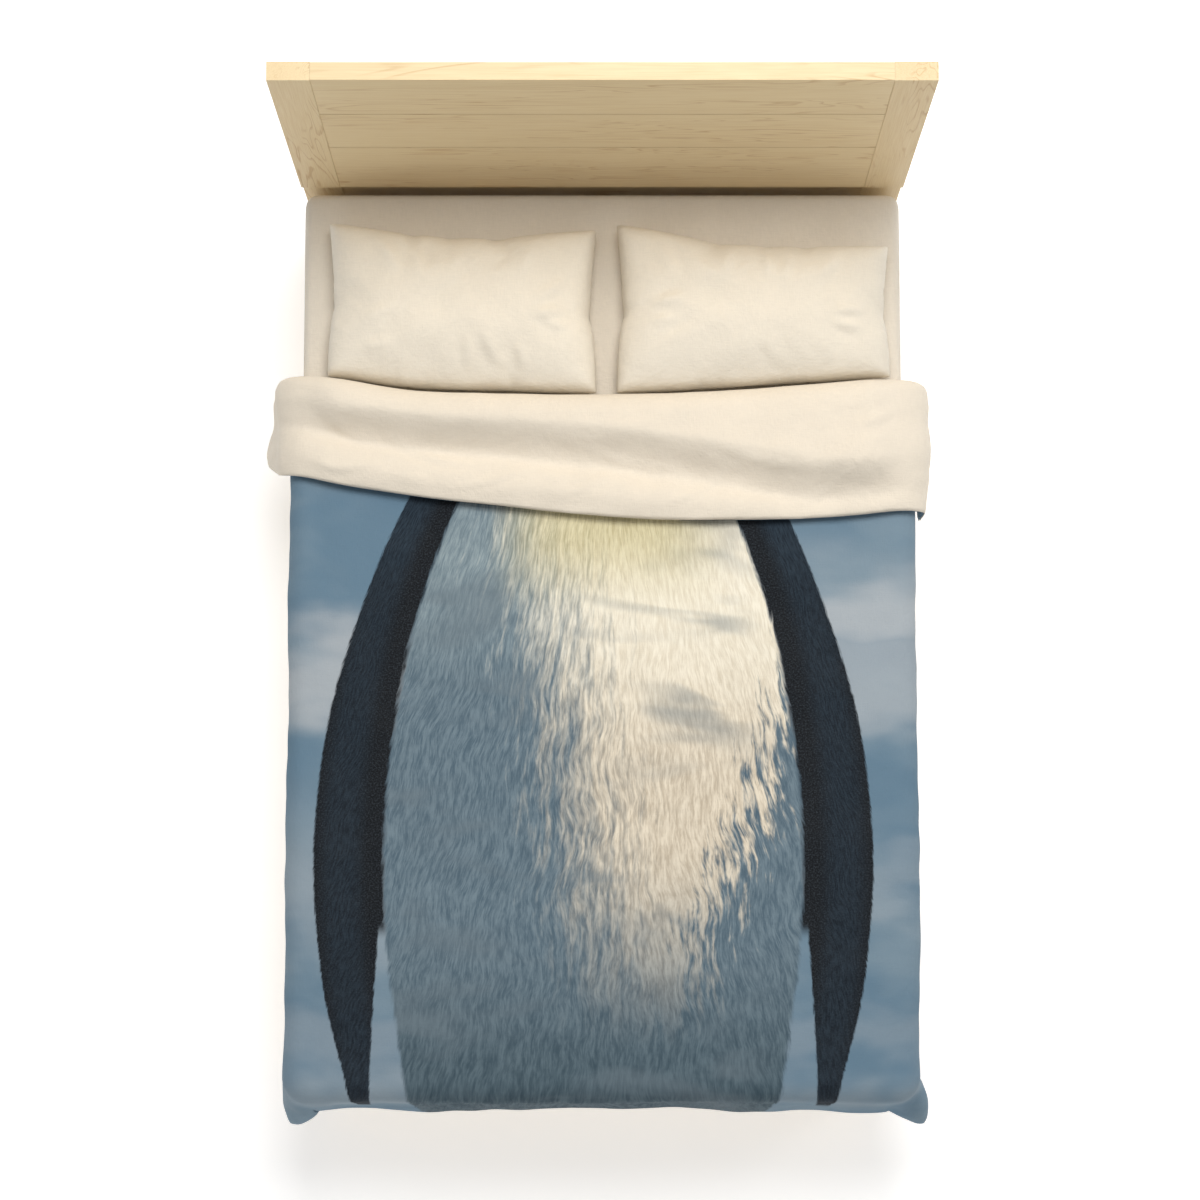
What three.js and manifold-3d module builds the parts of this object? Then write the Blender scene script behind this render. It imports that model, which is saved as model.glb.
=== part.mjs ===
// A double bed, made up: wooden bedstead, mattress, fitted sheet, two pillows and a duvet turned down
// at the head. Millimetres, +Z up, +Y towards the headboard. The bed is laid out from the plane of the
// headboard's front face, and the whole group is moved at the end so that its origin is the centre of
// the footprint, on the floor.
import * as THREE from "three";
import { mergeVertices } from "three/addons/utils/BufferGeometryUtils.js";
import Module from "manifold-3d";

const wasm = await Module();
wasm.setup();

// ---------------------------------------------------------------- driving dimensions
const GAP = 0.3; // between pieces that touch
const LOOSE = 0.8; // between a loose layer of bedding and what it lies on
const BEYOND = 400; // how far a cutting box runs past what it cuts

const MATTRESS = { width: 1372, length: 2032, height: 220, corner: 28, edge: 16 };
const PLATFORM = 280; // height of the slats' upper face
const HEAD_GAP = 12; // mattress to headboard
const COVER_WALL = 3;

const POST = { width: 90, thickness: 40, setBack: 15 };
const PANEL_OVERHANG = 10; // posts stand out past the mattress sides by this much
const PANEL_ABOVE_MATTRESS = 16; // lower edge of the headboard panel
const PLANK = { thickness: 38, heights: [292, 227, 221], names: ["lower", "middle", "top"] };
const PLANK_TONGUE = { length: 12, thickness: 14, height: 8, stop: 25 };
const PLANK_CHAMFER = 2;

const RAIL = { height: 140, thickness: 25 };
const LEG = { side: 60 };
const TENON = { length: 25, thickness: 12, shoulder: 20 }; // on the ends of the two cross rails
const LEDGE = { width: 30, height: 30 };
const SLAT = { count: 14, width: 75, thickness: 18, endMargin: 18, sideClearance: 1 };
const BEAM = { width: 40, height: 60 };
const CENTRE_LEG = { radius: 22, shares: [0.33, 0.72] };
const BRACKET = { wall: 3, length: 40, height: 45 };
const BOLT = {
  radius: 4,
  headRadius: 9,
  headHeight: 5,
  hole: 45, // depth of its hole in the rail's end
  clear: 12, // between its tip and the bottom of that hole
  fromEdge: 40, // from the rail's upper or lower edge
  socket: { radius: 3.2, depth: 3 }, // hexagonal, for the key
};

const SHEET = { thickness: 1.9, hem: 5 }; // hem above the slats
const ELASTIC = { thickness: 1.5, height: 7, above: 2 };

const DUVET = {
  skin: 1.4, // cover fabric with its seam allowance
  filling: 20, // where it is pressed by its own weight
  sideDrop: 155, // from the top of the mattress to the hem
  footDrop: 200,
  footGap: 18, // the foot of the duvet stands away from the mattress
  fold: 505, // headboard to the fold of the turned-down part
  turnedDown: 280,
  turnedSideDrop: 135,
};
const BUTTON = {
  radius: 8,
  thickness: 3,
  count: 5,
  spacing: 220,
  aboveHem: 18,
  hole: { radius: 1.2, offset: 2.6 },
};

const PILLOW = {
  width: 590,
  depth: 368,
  above: 82, // seam to crown
  below: 42, // seam to sheet
  waist: 14, // the edges pull in by this much between the corners
  crown: 0.42, // the smaller, the fuller
  rim: 6, // thickness at the seam
  wall: 1.5,
  mouth: { length: 250, width: 1.2, depth: 12 }, // of the case, along its outer end
  apart: 54, // between the two pillows
  fromFold: 3, // to the duvet
  turn: { left: -1.5, right: -2.5 }, // degrees
};

// ---------------------------------------------------------------- materials
const material = (color, roughness, metalness = 0) =>
  new THREE.MeshStandardMaterial({ color, roughness, metalness });
const wood = material(0xdcc090, 0.55);
const slatWood = material(0xd6ba8c, 0.7);
const steel = material(0x8f9194, 0.35, 1);
const foam = material(0xf1ecd8, 0.95);
const ticking = material(0xe9e5da, 0.9);
const sheetCotton = material(0xd9d0bd, 0.9);
const pillowCotton = material(0xe8decb, 0.9);
const fibre = material(0xf7f6f2, 0.95);
const printedCover = material(0x9fb1bf, 0.85);
const creamCover = material(0xefe4d0, 0.85);
const shell = material(0xe3d8c2, 0.4);
const rubber = material(0xe6e2d6, 0.8);

// ---------------------------------------------------------------- solids
const solidOf = (geometry) => {
  const bare = geometry.index ? geometry.toNonIndexed() : geometry.clone();
  for (const name of Object.keys(bare.attributes)) if (name !== "position") bare.deleteAttribute(name);
  const merged = mergeVertices(bare, 1e-3);
  return new wasm.Manifold(
    new wasm.Mesh({
      numProp: 3,
      vertProperties: merged.attributes.position.array,
      triVerts: new Uint32Array(merged.index.array),
    }),
  );
};

const geometryOf = (solid) => {
  const mesh = solid.getMesh();
  const positions = new Float32Array(mesh.numVert * 3);
  for (let i = 0; i < mesh.numVert; i++)
    positions.set(mesh.vertProperties.subarray(i * mesh.numProp, i * mesh.numProp + 3), i * 3);
  const geometry = new THREE.BufferGeometry()
    .setAttribute("position", new THREE.BufferAttribute(positions, 3))
    .setIndex(new THREE.BufferAttribute(mesh.triVerts, 1));
  geometry.computeVertexNormals();
  return geometry;
};

// A box given by its limits along each axis.
const box = ([x0, x1], [y0, y1], [z0, z1]) => {
  const geometry = new THREE.BoxGeometry(x1 - x0, y1 - y0, z1 - z0);
  return solidOf(geometry.translate((x0 + x1) / 2, (y0 + y1) / 2, (z0 + z1) / 2));
};

// An outline in the Y-Z plane, extruded along X between two limits.
const alongX = (points, x0, x1) => {
  const outline = new THREE.Shape(points.map(([y, z]) => new THREE.Vector2(y, z)));
  const geometry = new THREE.ExtrudeGeometry(outline, { depth: x1 - x0, bevelEnabled: false });
  const turn = new THREE.Matrix4().makeBasis(
    new THREE.Vector3(0, 1, 0),
    new THREE.Vector3(0, 0, 1),
    new THREE.Vector3(1, 0, 0),
  );
  return solidOf(geometry.applyMatrix4(turn).translate(x0, 0, 0));
};

const rod = (radius, y0, y1, x, z, sides = 20) =>
  solidOf(new THREE.CylinderGeometry(radius, radius, y1 - y0, sides).translate(x, (y0 + y1) / 2, z));

const roundedRectangle = (x0, x1, y0, y1, radius) => {
  const shape = new THREE.Shape();
  const quarter = Math.PI / 2;
  const corners = [
    [x1 - radius, y0 + radius],
    [x1 - radius, y1 - radius],
    [x0 + radius, y1 - radius],
    [x0 + radius, y0 + radius],
  ];
  corners.forEach(([x, y], i) => shape.absarc(x, y, radius, (i - 1) * quarter, i * quarter));
  return shape;
};

// ---------------------------------------------------------------- places worked out from the dimensions
const sum = (values) => values.reduce((a, b) => a + b, 0);
const halfMattress = MATTRESS.width / 2;
const mattressHead = -HEAD_GAP;
const mattressFoot = mattressHead - MATTRESS.length;
const mattressTop = PLATFORM + MATTRESS.height;
const halfPanel = halfMattress + PANEL_OVERHANG;
const panelBottom = mattressTop + PANEL_ABOVE_MATTRESS;
const plankTops = PLANK.heights.map((_, i) => panelBottom + sum(PLANK.heights.slice(0, i + 1)));
const postTop = plankTops.at(-1);
const postInner = halfPanel - POST.width;
const railInner = halfMattress - RAIL.thickness;
const railBottom = PLATFORM - RAIL.height;
const boltHeights = [railBottom + BOLT.fromEdge, PLATFORM - BOLT.fromEdge];
const legHead = mattressFoot + LEG.side; // head side of the two foot legs
const legInner = halfMattress - LEG.side;
const slatBottom = PLATFORM - SLAT.thickness;
const beamTop = slatBottom - GAP;
const beamBottom = beamTop - BEAM.height;
const railCentre = halfMattress - RAIL.thickness / 2;
const lowerRailFront = POST.setBack + GAP;
const lowerRailMiddle = (lowerRailFront + POST.thickness) / 2;
const footRailHead = mattressFoot + RAIL.thickness;
const footRailMiddle = mattressFoot + RAIL.thickness / 2;

const root = new THREE.Group();
const group = (name) => {
  const made = new THREE.Group();
  made.name = name;
  root.add(made);
  return made;
};
const bedstead = group("bedstead");
const mattress = group("mattress_and_sheet");
const duvet = group("duvet");
const pillows = group("pillows");

const add = (parent, name, solid, look) => {
  const mesh = new THREE.Mesh(geometryOf(solid), look);
  mesh.name = name;
  parent.add(mesh);
  return mesh;
};
const SIDES = [
  ["left", -1],
  ["right", 1],
];
// Limits along X, given from the centre outwards, on one side of the bed.
const span = (side, inner, outer) => (side < 0 ? [-outer, -inner] : [inner, outer]);

// ---------------------------------------------------------------- bedstead
const boltHole = (x, z, y0, y1) => rod(BOLT.radius + GAP, y0, y1, x, z);

function headboardPost(side) {
  const back = POST.thickness;
  const [x0, x1] = span(side, postInner, halfPanel);
  let post = alongX(
    [
      [0, panelBottom],
      [POST.setBack, panelBottom - POST.setBack],
      [POST.setBack, 0],
      [back, 0],
      [back, postTop],
      [0, postTop],
    ],
    x0,
    x1,
  );
  // A stopped groove takes the tongues on the planks' ends.
  const groove = span(side, postInner - 1, postInner + PLANK_TONGUE.length + GAP);
  const middle = back / 2;
  const half = PLANK_TONGUE.thickness / 2 + GAP;
  const grooveTop = postTop - PLANK_TONGUE.stop;
  post = post.subtract(box(groove, [middle - half, middle + half], [panelBottom - 1, grooveTop]));
  const mortise = span(side, postInner - 1, postInner + TENON.length + GAP);
  post = post.subtract(box(mortise, tenonDepth(lowerRailMiddle, GAP), tenonHeight(GAP)));
  for (const z of boltHeights) {
    post = post.subtract(boltHole(side * railCentre, z, POST.setBack - 1, back + 1));
    const pocket = back - BOLT.headHeight - GAP;
    post = post.subtract(rod(BOLT.headRadius + GAP, pocket, back + 1, side * railCentre, z));
  }
  return post;
}

function headboardPlank(index) {
  const inset = (POST.thickness - PLANK.thickness) / 2;
  const front = inset;
  const back = POST.thickness - inset;
  const middle = POST.thickness / 2;
  const half = PLANK_TONGUE.thickness / 2;
  const tongue = PLANK_TONGUE.height;
  const c = PLANK_CHAMFER;
  const z0 = index ? plankTops[index - 1] + GAP : panelBottom;
  const z1 = plankTops[index];
  const isTop = index === PLANK.heights.length - 1;
  // The lowest plank is bevelled at the mattress's height and goes on down behind it, thinner, to the
  // lower rail; the others have a groove in their lower edge for the tongue below.
  const lower = index
    ? [
        [front, z0 + c],
        [front + c, z0],
        [middle - half - GAP, z0],
        [middle - half - GAP, z0 + tongue + GAP],
        [middle + half + GAP, z0 + tongue + GAP],
        [middle + half + GAP, z0],
        [back - c, z0],
        [back, z0 + c],
      ]
    : [
        [front, z0],
        [front + POST.setBack, z0 - POST.setBack],
        [front + POST.setBack, PLATFORM + GAP],
        [back, PLATFORM + GAP],
      ];
  const upper = isTop
    ? [
        [back, z1],
        [front, z1],
      ]
    : [
        [back, z1 - c],
        [back - c, z1],
        [middle + half, z1],
        [middle + half, z1 + tongue],
        [middle - half, z1 + tongue],
        [middle - half, z1],
        [front + c, z1],
        [front, z1 - c],
      ];
  const end = postInner - GAP;
  let plank = alongX([...lower, ...upper], -end, end);
  const reach = postInner + PLANK_TONGUE.length;
  const tenonLow = z0 + (index ? tongue + 2 * GAP : GAP);
  const tenonHigh = isTop ? postTop - PLANK_TONGUE.stop - GAP : z1 - c;
  plank = plank.add(box([-reach, reach], [middle - half, middle + half], [tenonLow, tenonHigh]));
  return plank;
}

function sideRail(side) {
  const head = POST.setBack - GAP;
  const foot = legHead + GAP;
  let rail = box(span(side, railInner, halfMattress), [foot, head], [railBottom, PLATFORM]);
  for (const z of boltHeights) {
    rail = rail.subtract(boltHole(side * railCentre, z, head - BOLT.hole, head + 1));
    rail = rail.subtract(boltHole(side * railCentre, z, foot - 1, foot + BOLT.hole));
  }
  return rail;
}

function footLeg(side) {
  let leg = box(span(side, legInner, halfMattress), [mattressFoot, legHead], [0, PLATFORM]);
  const mortise = span(side, legInner - 1, legInner + TENON.length + GAP);
  leg = leg.subtract(box(mortise, tenonDepth(footRailMiddle, GAP), tenonHeight(GAP)));
  for (const z of boltHeights) {
    leg = leg.subtract(boltHole(side * railCentre, z, mattressFoot - 1, legHead + 1));
    const pocket = mattressFoot + BOLT.headHeight + GAP;
    leg = leg.subtract(rod(BOLT.headRadius + GAP, mattressFoot - 1, pocket, side * railCentre, z));
  }
  return leg;
}

function tenonDepth(middle, room) {
  const half = TENON.thickness / 2 + room;
  return [middle - half, middle + half];
}

function tenonHeight(room) {
  return [railBottom + TENON.shoulder - room, PLATFORM - TENON.shoulder + room];
}

// A rail across the bed, between two uprights whose inner faces are at `inner`, with a tenon in each.
function crossRail(inner, depth) {
  const board = box([GAP - inner, inner - GAP], depth, [railBottom, PLATFORM]);
  const reach = inner + TENON.length;
  return board.add(box([-reach, reach], tenonDepth((depth[0] + depth[1]) / 2, 0), tenonHeight(0)));
}

// A bolt lies along Y with its head at `headY`, and `way` is +1 when the shank runs towards the headboard.
function bedBolt(x, z, headY, throughWood, way) {
  const inner = headY + way * BOLT.headHeight;
  const tip = headY + way * (throughWood + BOLT.hole - BOLT.clear);
  const head = rod(BOLT.headRadius, Math.min(headY, inner), Math.max(headY, inner), x, z);
  const shank = rod(BOLT.radius, Math.min(inner - way, tip), Math.max(inner - way, tip), x, z);
  const socketY = [headY - way, headY + way * BOLT.socket.depth].sort((a, b) => a - b);
  return head.add(shank).subtract(rod(BOLT.socket.radius, ...socketY, x, z, 6));
}

function beamBracket(atHead) {
  const face = atHead ? lowerRailFront - GAP : footRailHead + GAP;
  const way = atHead ? -1 : 1;
  const y = [face, face + way * BRACKET.length].sort((a, b) => a - b);
  const inner = BEAM.width / 2 + GAP;
  const outer = inner + BRACKET.wall;
  const top = beamBottom - GAP + BRACKET.height;
  const cradle = box([-outer, outer], y, [beamBottom - GAP - BRACKET.wall, top]);
  const room = box([-inner, inner], [y[0] - 1, y[1] + 1], [beamBottom - GAP, top + 1]);
  return cradle.subtract(room);
}

PLANK.heights.forEach((_, i) => add(bedstead, `headboard_plank_${PLANK.names[i]}`, headboardPlank(i), wood));
for (const [name, side] of SIDES) {
  add(bedstead, `headboard_post_${name}`, headboardPost(side), wood);
  add(bedstead, `side_rail_${name}`, sideRail(side), wood);
  add(bedstead, `foot_leg_${name}`, footLeg(side), wood);
  const ledgeX = span(side, railInner - GAP - LEDGE.width, railInner - GAP);
  const ledgeY = [legHead + GAP, lowerRailFront - GAP * 2];
  const ledgeZ = [slatBottom - GAP - LEDGE.height, slatBottom - GAP];
  add(bedstead, `slat_ledge_${name}`, box(ledgeX, ledgeY, ledgeZ), slatWood);
  boltHeights.forEach((z, i) => {
    const x = side * railCentre;
    const atHead = bedBolt(x, z, POST.thickness, POST.thickness - POST.setBack, -1);
    add(bedstead, `head_bolt_${name}_${i + 1}`, atHead, steel);
    const atFoot = bedBolt(x, z, mattressFoot, LEG.side, 1);
    add(bedstead, `foot_bolt_${name}_${i + 1}`, atFoot, steel);
  });
}
add(bedstead, "headboard_lower_rail", crossRail(postInner, [lowerRailFront, POST.thickness]), wood);
add(bedstead, "foot_rail", crossRail(legInner, [mattressFoot, footRailHead]), wood);

const slatFirst = lowerRailFront - SLAT.endMargin - SLAT.width / 2 - BRACKET.wall;
const slatLast = footRailHead + SLAT.endMargin + SLAT.width / 2;
for (let i = 0; i < SLAT.count; i++) {
  const y = THREE.MathUtils.lerp(slatFirst, slatLast, i / (SLAT.count - 1));
  // The end slats stop short of the foot legs' inner faces.
  const reachesLeg = y - SLAT.width / 2 < legHead + GAP;
  const half = (reachesLeg ? legInner : railInner) - SLAT.sideClearance;
  const slat = box([-half, half], [y - SLAT.width / 2, y + SLAT.width / 2], [slatBottom, PLATFORM]);
  add(bedstead, `slat_${String(i + 1).padStart(2, "0")}`, slat, slatWood);
}

const beamEnds = [footRailHead + GAP * 2, lowerRailFront - GAP * 2];
const beamSides = [-BEAM.width / 2, BEAM.width / 2];
add(bedstead, "centre_beam", box(beamSides, beamEnds, [beamBottom, beamTop]), slatWood);
add(bedstead, "beam_bracket_head", beamBracket(true), steel);
add(bedstead, "beam_bracket_foot", beamBracket(false), steel);
CENTRE_LEG.shares.forEach((share, i) => {
  const y = THREE.MathUtils.lerp(beamEnds[1], beamEnds[0], share);
  const top = beamBottom - GAP;
  const leg = new THREE.CylinderGeometry(CENTRE_LEG.radius, CENTRE_LEG.radius * 0.8, top, 28);
  add(bedstead, `centre_leg_${i + 1}`, solidOf(leg.rotateX(Math.PI / 2).translate(0, y, top / 2)), wood);
});

// ---------------------------------------------------------------- mattress and fitted sheet
// The mattress, grown by `offset` on every face and by `footExtra` more at the foot, with rounded edges.
function mattressForm(offset, footExtra = 0) {
  const edge = MATTRESS.edge + offset;
  const outline = roundedRectangle(
    -halfMattress - offset + edge,
    halfMattress + offset - edge,
    mattressFoot - offset - footExtra + edge,
    mattressHead + Math.min(offset, HEAD_GAP - 1) - edge,
    MATTRESS.corner - MATTRESS.edge,
  );
  const depth = MATTRESS.height - GAP + 2 * offset - 2 * edge;
  const geometry = new THREE.ExtrudeGeometry(outline, {
    depth,
    bevelEnabled: true,
    bevelThickness: edge,
    bevelSize: edge,
    bevelSegments: 4,
    curveSegments: 6,
  });
  return solidOf(geometry.translate(0, 0, PLATFORM + GAP - offset + edge));
}

// Cutting boxes run across the whole bed, and past it at the foot and above.
const slab = (y0, y1, z0, z1) => box([-halfMattress - BEYOND, halfMattress + BEYOND], [y0, y1], [z0, z1]);
const far = mattressFoot - BEYOND;
const high = mattressTop + BEYOND;
const zipHeight = PLATFORM + MATTRESS.height / 2;

const outerCover = mattressForm(0);
const insideCover = mattressForm(-COVER_WALL);
// The base's floor and the top's roof stay closed; each half is open where they zip together.
add(mattress, "mattress_core", mattressForm(-COVER_WALL - GAP), foam);
add(
  mattress,
  "mattress_cover_top",
  outerCover.intersect(slab(far, BEYOND, zipHeight + GAP, high)).subtract(insideCover),
  ticking,
);
add(
  mattress,
  "mattress_cover_base",
  outerCover.intersect(slab(far, BEYOND, 0, zipHeight)).subtract(insideCover),
  ticking,
);
const sheetOuter = GAP + SHEET.thickness;
const sheetHem = PLATFORM + SHEET.hem;
add(
  mattress,
  "fitted_sheet",
  mattressForm(sheetOuter).intersect(slab(far, BEYOND, sheetHem, high)).subtract(mattressForm(GAP)),
  sheetCotton,
);
const elasticInner = sheetOuter + GAP;
const elasticBottom = sheetHem + ELASTIC.above;
add(
  mattress,
  "fitted_sheet_elastic",
  mattressForm(elasticInner + ELASTIC.thickness)
    .intersect(slab(far, BEYOND, elasticBottom, elasticBottom + ELASTIC.height))
    .subtract(mattressForm(elasticInner)),
  rubber,
);

// ---------------------------------------------------------------- duvet
// Each layer is a shell between two offsets from the mattress. From the mattress outwards: the back panel,
// the filling and the cover's face panel; then, in the turned-down part, the same three the other way round.
const layer = (inner, outer) =>
  mattressForm(outer, DUVET.footGap).subtract(mattressForm(inner, DUVET.footGap));
const foldY = -DUVET.fold;
const turnedHem = foldY - DUVET.turnedDown;
const sideHem = mattressTop - DUVET.sideDrop;
const footHem = mattressTop - DUVET.footDrop;
const turnedSideHem = mattressTop - DUVET.turnedSideDrop;

// The stretch of a layer that covers the bed from the foot up to `head`.
const lower = (shellSolid, head) => {
  const region = slab(far, head, sideHem, high).add(
    slab(far, mattressFoot + MATTRESS.corner, footHem, high),
  );
  return shellSolid.intersect(region);
};
// The stretch that is turned down over it.
const turned = (shellSolid, head) => shellSolid.intersect(slab(turnedHem, head, turnedSideHem, high));
const wall = (shellSolid, y0, y1) => shellSolid.intersect(slab(y0, y1, turnedSideHem, high));

const backInner = sheetOuter + LOOSE;
const backOuter = backInner + DUVET.skin;
const fillInner = backOuter + GAP;
const fillOuter = fillInner + DUVET.filling;
const faceInner = fillOuter + GAP;
const faceOuter = faceInner + DUVET.skin;
const turnedFaceInner = faceOuter + GAP;
const turnedFaceOuter = turnedFaceInner + DUVET.skin;
const turnedFillInner = turnedFaceOuter + GAP;
const turnedFillOuter = turnedFillInner + DUVET.filling;
const turnedBackInner = turnedFillOuter + GAP;
const turnedBackOuter = turnedBackInner + DUVET.skin;

const fillHead = foldY - DUVET.skin - GAP;
const faceHead = fillHead - DUVET.filling - GAP;
add(
  duvet,
  "duvet_filling",
  lower(layer(fillInner, fillOuter), fillHead)
    .add(turned(layer(turnedFillInner, turnedFillOuter), fillHead))
    .add(wall(layer(fillInner, turnedFillOuter), fillHead - DUVET.filling, fillHead)),
  fibre,
);
add(
  duvet,
  "duvet_cover_face",
  lower(layer(faceInner, faceOuter), faceHead)
    .add(turned(layer(turnedFaceInner, turnedFaceOuter), faceHead))
    .add(wall(layer(faceInner, turnedFaceOuter), faceHead - DUVET.skin, faceHead)),
  printedCover,
);
add(
  duvet,
  "duvet_cover_back",
  lower(layer(backInner, backOuter), foldY)
    .add(turned(layer(turnedBackInner, turnedBackOuter), foldY))
    .add(wall(layer(backInner, turnedBackOuter), foldY - DUVET.skin, foldY)),
  creamCover,
);

// Buttons close the cover's mouth at the foot, inside its hem.
const buttonBack = mattressFoot - DUVET.footGap - backInner + GAP;
for (let i = 0; i < BUTTON.count; i++) {
  const x = (i - (BUTTON.count - 1) / 2) * BUTTON.spacing;
  const z = footHem + BUTTON.aboveHem;
  let button = rod(BUTTON.radius, buttonBack, buttonBack + BUTTON.thickness, x, z, 28);
  for (const [dx, dz] of [
    [-1, -1],
    [-1, 1],
    [1, -1],
    [1, 1],
  ])
    button = button.subtract(
      rod(
        BUTTON.hole.radius,
        buttonBack - 1,
        buttonBack + BUTTON.thickness + 1,
        x + dx * BUTTON.hole.offset,
        z + dz * BUTTON.hole.offset,
        10,
      ),
    );
  add(duvet, `cover_button_${i + 1}`, button, shell);
}

// ---------------------------------------------------------------- pillows
// A cushion: its edges pull in between the corners, it is crowned above its seam and flat where it rests.
function cushion(shrink) {
  const halfWidth = PILLOW.width / 2 - shrink;
  const halfDepth = PILLOW.depth / 2 - shrink;
  const rim = PILLOW.rim / 2 - shrink / 2;
  const above = PILLOW.above - shrink;
  const below = PILLOW.below - shrink;
  const geometry = new THREE.BoxGeometry(2, 2, 2, 14, 10, 1);
  const position = geometry.getAttribute("position");
  for (let i = 0; i < position.count; i++) {
    const u = position.getX(i);
    const v = position.getY(i);
    const crown = Math.pow((1 - u * u) * (1 - v * v), PILLOW.crown);
    const upper = Math.max(rim, above * crown);
    const lower = Math.max(rim, Math.min(below, 2 * below * crown));
    const z = position.getZ(i) > 0 ? upper : -lower;
    const x = u * (halfWidth - PILLOW.waist * (1 - v * v));
    const y = v * (halfDepth - PILLOW.waist * (1 - u * u));
    position.setXYZ(i, x, y, z);
  }
  return solidOf(geometry);
}

for (const [name, side] of SIDES) {
  const pair = new THREE.Group();
  const turn = THREE.MathUtils.degToRad(PILLOW.turn[name]);
  const reach = (PILLOW.depth * Math.cos(turn) + PILLOW.width * Math.abs(Math.sin(turn))) / 2;
  pair.position.set(
    (side * (PILLOW.width + PILLOW.apart)) / 2,
    foldY + PILLOW.fromFold + reach,
    mattressTop + sheetOuter + LOOSE + PILLOW.below,
  );
  pair.rotation.z = turn;
  pillows.add(pair);
  // The pillowcase's mouth is the slit along its outer end.
  const { length, width, depth } = PILLOW.mouth;
  const mouth = span(side, PILLOW.width / 2 - PILLOW.waist - depth, PILLOW.width / 2 + depth);
  const slit = box(mouth, [-length / 2, length / 2], [-width / 2, width / 2]);
  add(pair, `pillow_filling_${name}`, cushion(PILLOW.wall + GAP), fibre);
  add(pair, `pillowcase_${name}`, cushion(0).subtract(cushion(PILLOW.wall)).subtract(slit), pillowCotton);
}

// ---------------------------------------------------------------- origin at the centre of the footprint
const footFace = mattressFoot - DUVET.footGap - faceOuter;
root.position.y = -(POST.thickness + footFace) / 2;

export default root;
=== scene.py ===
"""A made-up double bed seen from above: wooden bedstead, fitted sheet, pillows and a printed duvet,
turned down at the head.

Metres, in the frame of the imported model. "Flat" coordinates are where a point of the duvet lies before it is
draped: x across the bed and y along it, both measured as on the mattress top.
"""
import math

import bpy
import numpy as np
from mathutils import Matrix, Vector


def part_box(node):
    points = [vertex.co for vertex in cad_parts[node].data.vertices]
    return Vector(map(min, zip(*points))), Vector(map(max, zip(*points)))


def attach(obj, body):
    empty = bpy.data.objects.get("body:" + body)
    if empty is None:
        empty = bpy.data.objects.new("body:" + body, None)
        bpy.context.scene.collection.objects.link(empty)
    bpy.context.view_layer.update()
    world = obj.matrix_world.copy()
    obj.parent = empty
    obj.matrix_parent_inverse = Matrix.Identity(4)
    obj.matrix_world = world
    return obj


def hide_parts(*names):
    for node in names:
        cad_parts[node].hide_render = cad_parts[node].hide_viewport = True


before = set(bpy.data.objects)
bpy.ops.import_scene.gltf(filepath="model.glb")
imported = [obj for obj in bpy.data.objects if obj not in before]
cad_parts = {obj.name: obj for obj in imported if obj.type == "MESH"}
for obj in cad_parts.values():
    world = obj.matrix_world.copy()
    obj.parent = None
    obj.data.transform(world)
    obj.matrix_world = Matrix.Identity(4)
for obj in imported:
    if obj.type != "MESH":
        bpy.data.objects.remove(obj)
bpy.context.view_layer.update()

# ---- places taken from the frame
SHEET_LOW, SHEET_HIGH = (np.array(corner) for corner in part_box("fitted_sheet"))
MATTRESS_TOP = SHEET_HIGH[2]
HALF_WIDTH = SHEET_HIGH[0]
FOOT = SHEET_LOW[1]
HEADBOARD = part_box("headboard_post_left")[0].y  # the plane of its front face
BEDSTEAD_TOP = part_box("headboard_post_left")[1].z
FLOOR = 0.0

# ---- sizes
COVER = (1.727, 2.235)  # the duvet cover, laid flat
COVER_FABRIC = 0.0012
DUVET_THICKNESS = 0.021
HEM_THICKNESS = 0.004
HEM_TAPER = 0.05  # width over which the duvet thins towards its seams
FOOT_DROP = 0.205
FOOT_STAND_OFF = 0.022  # the foot of the duvet stands away from the mattress
SKIRT_THICKNESS = 0.016  # of the duvet where it hangs at the sides
BEND = 0.030  # radius of its bend over the mattress's edge
ROLL_RADIUS = (0.045, 0.018)  # of the duvet's middle layer where it turns back, on the bed and at its sides
TURNED_LENGTH = 0.33  # of the cover that is taken up by the roll and the turned-down part
TURNED_STEPS = 32
ROLL_STEPS = 14
FILLING_INSET = 0.0045  # from the fabric, on both sides
DUVET_CLEARANCE = 0.004  # over the sheet
PILLOW_FLAT = (0.60, 0.40)
PILLOW_SEAM = 0.044  # its height over the mattress
PILLOW_RISE = 0.094  # from the seam to the pillow's top
PILLOW_SUNK = 0.040  # from the seam to its underside
SHEET_FABRIC = 0.0012

CAMERA_X = -0.005
CAMERA_HEIGHT = 7.25
CAMERA_FROM_HEADBOARD = 2.08
CAMERA_TILT = math.radians(7.1)
LENS, SHIFT = 90, 0.1
WORLD_LIGHT = 0.34
FLOOR_GLOW = 0.42
# Each with its place, what it is aimed at, its diameter, its power and its colour.
LIGHTS = {
    "key": ((0.4, 1.9, 5.8), (0, 0, 0.4), 3.0, 210, (1.0, 0.992, 0.985)),
    "side": ((5.0, 1.6, 3.6), (0, 0.3, 0.5), 1.8, 40, (1.0, 0.99, 0.98)),
    "fill": ((-2.2, -4.6, 3.6), (0, 0, 0.6), 3.0, 24, (0.99, 0.99, 1.0)),
}


# ---- meshes
def linked(name, data):
    made = bpy.data.objects.new(name, data)
    bpy.context.scene.collection.objects.link(made)
    return made


def mesh_object(name, points, faces):
    mesh = bpy.data.meshes.new(name)
    mesh.from_pydata([tuple(p) for p in np.asarray(points).reshape(-1, 3)], [], faces)
    mesh.update()
    mesh.shade_smooth()
    return linked(name, mesh)


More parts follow.
